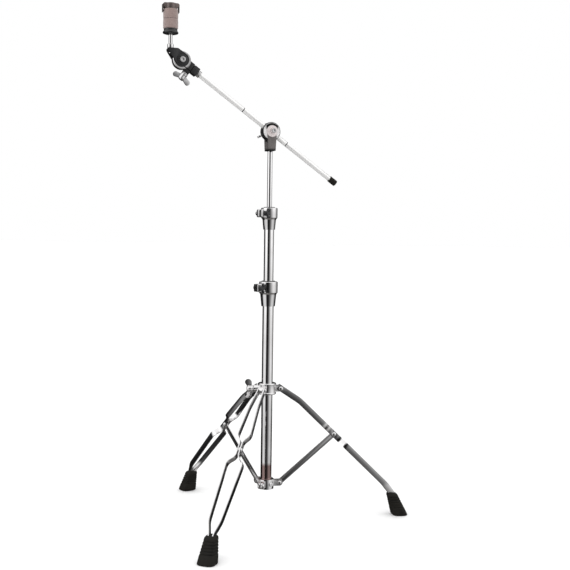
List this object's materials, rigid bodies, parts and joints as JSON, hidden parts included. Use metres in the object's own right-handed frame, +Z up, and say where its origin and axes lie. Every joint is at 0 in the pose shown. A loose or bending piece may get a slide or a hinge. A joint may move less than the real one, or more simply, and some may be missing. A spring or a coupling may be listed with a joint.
{
  "type": "boom cymbal stand",
  "caption": "Chrome folding boom cymbal stand with a double-braced tripod, telescoping column, tilting boom arm and felt-padded cymbal seat.",
  "frame": {"origin": "middle of the stand's footprint box, on the plane that the three rubber feet rest on", "axes": "+Z up along the column; +Y away from the side that the tripod's front leg and the boom's pivot screw face; +X towards the boom's end cap"},
  "size_m": [0.6452, 0.6632, 1.2961],
  "materials": {
    "chrome": "bright polished chrome plate",
    "black_casting": "satin black coated casting",
    "grey_casting": "satin grey cast alloy",
    "rubber": "matt black moulded rubber",
    "nylon": "black nylon",
    "felt": "dense pressed wool felt"
  },
  "bodies": {
    "column": {"base_tube": "chrome", "base_tube_plug": "nylon", "lower_collar": "chrome", "lower_collar_screw": "chrome", "base_clamp": "chrome", "base_clamp_bolt": "chrome", "brace_1_bolt": "chrome", "brace_2_bolt": "chrome", "brace_3_bolt": "chrome"},
    "leg_collar": {"leg_collar": "chrome", "leg_1_top_bolt": "chrome", "leg_2_top_bolt": "chrome", "leg_3_top_bolt": "chrome"},
    "leg_collar_wing_bolt": {"leg_collar_wing_bolt": "chrome"},
    "base_clamp_bush": {"base_clamp_bush": "nylon"},
    "base_clamp_wing_nut": {"base_clamp_wing_nut": "black_casting"},
    "mid_tube": {"mid_tube": "chrome", "mid_clamp": "chrome", "mid_clamp_bolt": "chrome"},
    "mid_clamp_bush": {"mid_clamp_bush": "nylon"},
    "mid_clamp_wing_nut": {"mid_clamp_wing_nut": "black_casting"},
    "upper_rod": {"upper_rod": "chrome", "upper_rod_guide": "nylon", "boom_yoke": "grey_casting", "boom_pivot_screw": "chrome"},
    "boom_drum": {"boom_drum": "chrome"},
    "boom_wing_bolt": {"boom_wing_bolt": "chrome"},
    "boom_arm": {"boom_arm": "chrome", "boom_end_cap": "rubber", "boom_socket": "black_casting", "boom_lock_nut": "chrome", "tilter_band": "chrome", "tilter_washer": "chrome"},
    "tilter_wing_bolt": {"tilter_wing_bolt": "chrome"},
    "tilter_body": {"tilter_body": "black_casting", "tilter_axle": "chrome", "cymbal_rod": "chrome", "rod_lock_nut": "chrome", "seat_cup": "black_casting", "seat_sleeve": "nylon"},
    "lower_felt": {"lower_felt": "felt"},
    "upper_felt": {"upper_felt": "felt"},
    "quick_release": {"quick_release_nut": "grey_casting"},
    "brace_1": {"brace_1": "chrome"},
    "leg_1": {"leg_1_strip_left": "chrome", "leg_1_strip_right": "chrome", "leg_1_mid_rivet": "chrome", "leg_1_foot": "rubber"},
    "brace_2": {"brace_2": "chrome"},
    "leg_2": {"leg_2_strip_left": "chrome", "leg_2_strip_right": "chrome", "leg_2_mid_rivet": "chrome", "leg_2_foot": "rubber"},
    "brace_3": {"brace_3": "chrome"},
    "leg_3": {"leg_3_strip_left": "chrome", "leg_3_strip_right": "chrome", "leg_3_mid_rivet": "chrome", "leg_3_foot": "rubber"}
  },
  "joints": [
    {"name": "legs_fold", "type": "hinge", "parent": "column", "child": "brace_1", "pos_m": [-0.01993, 0.0332, 0.0962], "axis": [0.1576, -0.9875, 0], "range_deg": [-6, 42]},
    {"name": "leg_1_turn", "type": "hinge", "parent": "brace_1", "child": "leg_1", "pos_m": [0.12128, 0.05575, 0.2192], "axis": [0.1576, -0.9875, 0], "range_deg": [-84, 12]},
    {"name": "leg_collar_rise", "type": "hinge", "parent": "leg_1", "child": "leg_collar", "pos_m": [-0.01993, 0.0332, 0.3422], "axis": [0.1576, -0.9875, 0], "range_deg": [-6, 42]},
    {"name": "leg_2_turn", "type": "hinge", "parent": "leg_collar", "child": "leg_2", "pos_m": [-0.07655, 0.05486, 0.3422], "axis": [0.7764, 0.6303, 0], "range_deg": [-42, 6]},
    {"name": "brace_2_turn", "type": "hinge", "parent": "column", "child": "brace_2", "pos_m": [-0.07655, 0.05486, 0.0962], "axis": [0.7764, 0.6303, 0], "range_deg": [-6, 42]},
    {"name": "leg_3_turn", "type": "hinge", "parent": "leg_collar", "child": "leg_3", "pos_m": [-0.067, -0.005, 0.3422], "axis": [-0.934, 0.3572, 0], "range_deg": [-42, 6]},
    {"name": "brace_3_turn", "type": "hinge", "parent": "column", "child": "brace_3", "pos_m": [-0.067, -0.005, 0.0962], "axis": [-0.934, 0.3572, 0], "range_deg": [-6, 42]},
    {"name": "leg_collar_wing_bolt_turn", "type": "hinge", "parent": "leg_collar", "child": "leg_collar_wing_bolt", "pos_m": [-0.09893, 0.02059, 0.3422], "axis": [-0.9875, -0.1576, 0], "continuous": true},
    {"name": "mid_tube_turn", "type": "hinge", "parent": "column", "child": "base_clamp_bush", "pos_m": [-0.05449, 0.02769, 0.5957], "axis": [0, 0, 1], "continuous": true},
    {"name": "mid_tube_slide", "type": "slide", "parent": "base_clamp_bush", "child": "mid_tube", "axis": [0, 0, 1], "range_m": [-0.125, 0.28]},
    {"name": "upper_rod_turn", "type": "hinge", "parent": "mid_tube", "child": "mid_clamp_bush", "pos_m": [-0.05449, 0.02769, 0.7867], "axis": [0, 0, 1], "continuous": true},
    {"name": "upper_rod_slide", "type": "slide", "parent": "mid_clamp_bush", "child": "upper_rod", "axis": [0, 0, 1], "range_m": [-0.13, 0.28]},
    {"name": "base_clamp_wing_nut_turn", "type": "hinge", "parent": "column", "child": "base_clamp_wing_nut", "pos_m": [-0.06983, -0.00312, 0.6017], "axis": [0.4695, -0.8829, 0], "continuous": true},
    {"name": "mid_clamp_wing_nut_turn", "type": "hinge", "parent": "mid_tube", "child": "mid_clamp_wing_nut", "pos_m": [-0.05932, -0.00357, 0.7912], "axis": [0.6691, -0.7431, 0], "continuous": true},
    {"name": "boom_tilt", "type": "hinge", "parent": "upper_rod", "child": "boom_drum", "pos_m": [-0.05449, 0.02769, 0.9987], "axis": [0.309, -0.9511, 0], "range_deg": [-15, 85]},
    {"name": "boom_slide", "type": "slide", "parent": "boom_drum", "child": "boom_arm", "axis": [-0.7791, -0.2531, 0.5736], "range_m": [-0.19, 0.165]},
    {"name": "boom_wing_bolt_turn", "type": "hinge", "parent": "upper_rod", "child": "boom_wing_bolt", "pos_m": [-0.06222, 0.05146, 0.9987], "axis": [-0.309, 0.9511, 0], "continuous": true},
    {"name": "tilter_turn", "type": "hinge", "parent": "boom_arm", "child": "tilter_body", "pos_m": [-0.27497, -0.04395, 1.16102], "axis": [0.309, -0.9511, 0], "range_deg": [-80, 75]},
    {"name": "tilter_wing_bolt_turn", "type": "hinge", "parent": "boom_arm", "child": "tilter_wing_bolt", "pos_m": [-0.2712, -0.04272, 1.12223], "axis": [-0.5455, -0.1772, -0.8192], "continuous": true},
    {"name": "lower_felt_lift", "type": "slide", "parent": "tilter_body", "child": "lower_felt", "axis": [0, 0, 1], "range_m": [0, 0.05]},
    {"name": "upper_felt_lift", "type": "slide", "parent": "lower_felt", "child": "upper_felt", "axis": [0, 0, 1], "range_m": [0, 0.05]},
    {"name": "quick_release_lift", "type": "slide", "parent": "upper_felt", "child": "quick_release", "axis": [0, 0, 1], "range_m": [0, 0.05]}
  ],
  "couplings": [
    {"joint": "leg_1_turn", "follows": "legs_fold", "ratio": -2},
    {"joint": "leg_collar_rise", "follows": "legs_fold", "ratio": 1},
    {"joint": "leg_2_turn", "follows": "legs_fold", "ratio": -1},
    {"joint": "brace_2_turn", "follows": "legs_fold", "ratio": 1},
    {"joint": "leg_3_turn", "follows": "legs_fold", "ratio": -1},
    {"joint": "brace_3_turn", "follows": "legs_fold", "ratio": 1}
  ]
}
